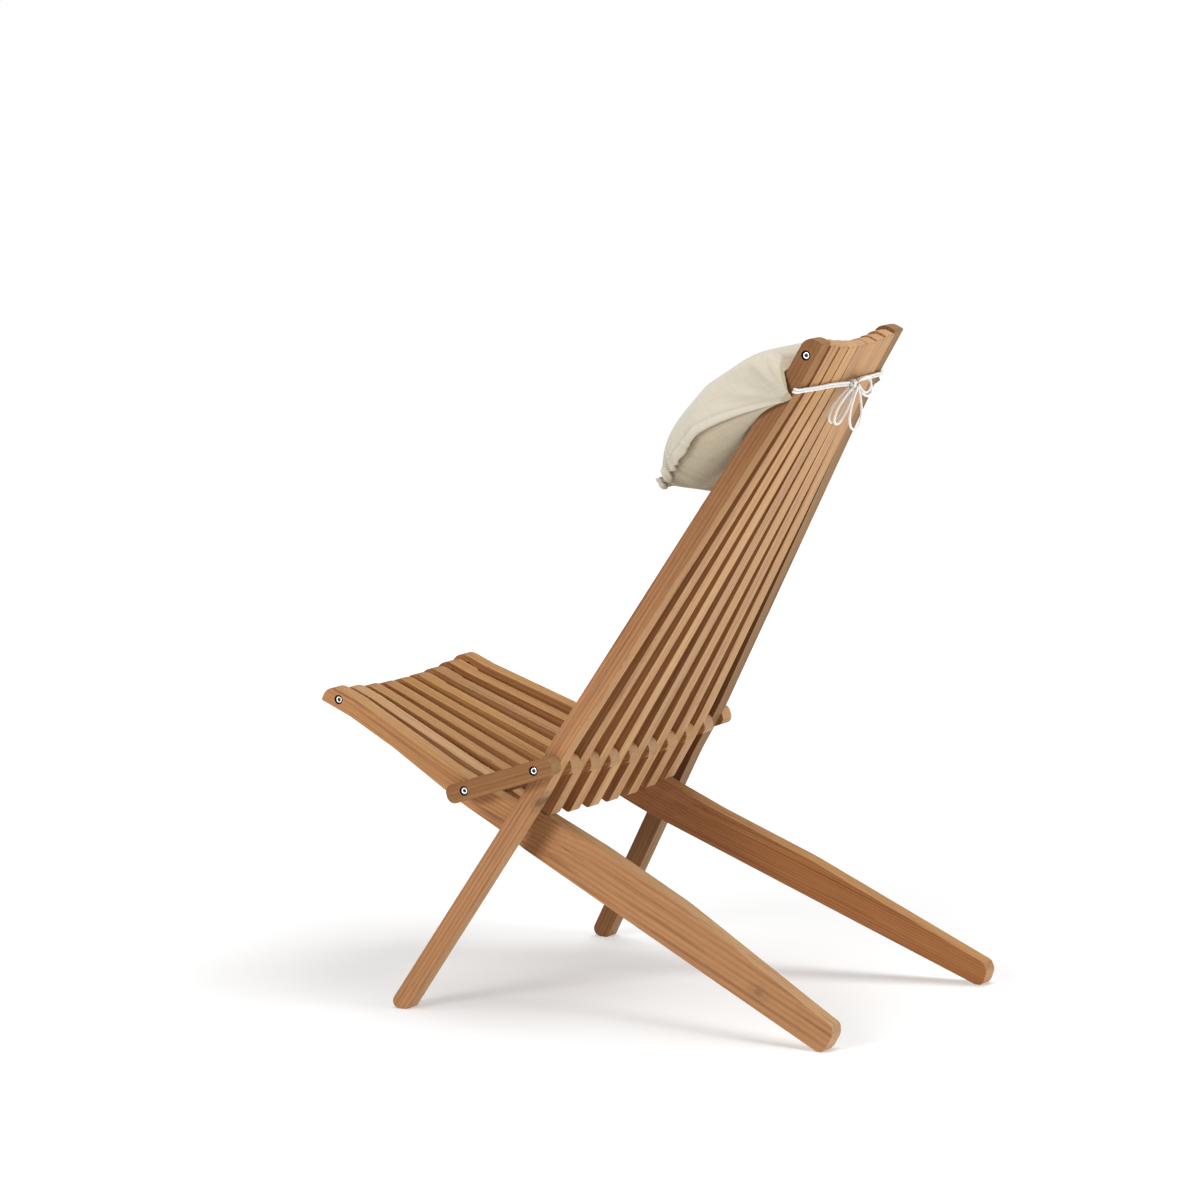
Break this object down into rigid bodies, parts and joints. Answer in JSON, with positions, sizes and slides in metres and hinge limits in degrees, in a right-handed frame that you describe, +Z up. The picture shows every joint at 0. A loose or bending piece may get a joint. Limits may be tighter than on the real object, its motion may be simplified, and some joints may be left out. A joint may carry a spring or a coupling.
{
  "type": "folding slatted lounge chair",
  "caption": "Low folding lounge chair of interleaved hardwood slats on cross rods, with a reclined back and a linen neck pillow tied on by cord.",
  "frame": {"origin": "on the floor under the middle of the chair's bounding box", "axes": "+Z up, the chair faces -Y, +X to the side that a sitter has on the left hand"},
  "size_m": [0.515, 0.718, 0.8049],
  "materials": {
    "teak": "oiled",
    "teak_pale": "oiled",
    "steel": "satin",
    "linen": "matte",
    "cord_white": "matte"
  },
  "bodies": {
    "seat": {"seat_slat_1": "teak_pale", "rear_leg_board_l": "teak", "seat_slat_3": "teak_pale", "seat_slat_4": "teak_pale", "seat_slat_5": "teak_pale", "seat_slat_6": "teak_pale", "seat_slat_7": "teak_pale", "rear_leg_board_r": "teak", "seat_slat_9": "teak_pale", "seat_spacer_1": "teak", "seat_spacer_2": "teak", "seat_spacer_3": "teak", "seat_spacer_4": "teak", "seat_spacer_5": "teak", "seat_spacer_6": "teak", "seat_spacer_7": "teak", "seat_spacer_8": "teak", "rod_front": "steel", "rod_seat_fold": "steel", "bolt_front_l": "steel", "bolt_front_r": "steel", "bolt_seat_fold_l": "steel", "bolt_seat_fold_r": "steel"},
    "links": {"link_1": "teak", "link_2": "teak", "link_3": "teak", "link_4": "teak", "link_5": "teak", "link_6": "teak", "link_7": "teak", "link_8": "teak", "link_9": "teak", "link_10": "teak"},
    "back": {"front_leg_stick_l": "teak", "back_slat_2": "teak_pale", "back_slat_3": "teak_pale", "back_slat_4": "teak_pale", "back_slat_5": "teak_pale", "back_slat_6": "teak_pale", "back_slat_7": "teak_pale", "back_slat_8": "teak_pale", "front_leg_stick_r": "teak", "rod_back_fold": "steel", "rod_top": "steel", "bolt_back_fold_l": "steel", "bolt_back_fold_r": "steel", "bolt_top_l": "steel", "bolt_top_r": "steel", "pillow": "linen", "cord_r_upper": "cord_white", "cord_r_lower": "cord_white", "cord_l_upper": "cord_white", "cord_l_lower": "cord_white", "cord_knot": "cord_white", "cord_loop_r_outer": "cord_white", "cord_loop_r_inner": "cord_white", "cord_tail": "cord_white", "cord_loop_l_outer": "cord_white", "cord_loop_l_inner": "cord_white"}
  },
  "joints": [
    {"name": "link_fold", "type": "hinge", "parent": "seat", "child": "links", "pos_m": [0, -0.12329, 0.2625], "axis": [1, 0, 0], "range_deg": [0, 48]},
    {"name": "back_fold", "type": "hinge", "parent": "links", "child": "back", "pos_m": [0, -0.02959, 0.2942], "axis": [1, 0, 0], "range_deg": [0, 48]}
  ],
  "couplings": [
    {"joint": "link_fold", "follows": "back_fold", "ratio": 1}
  ]
}
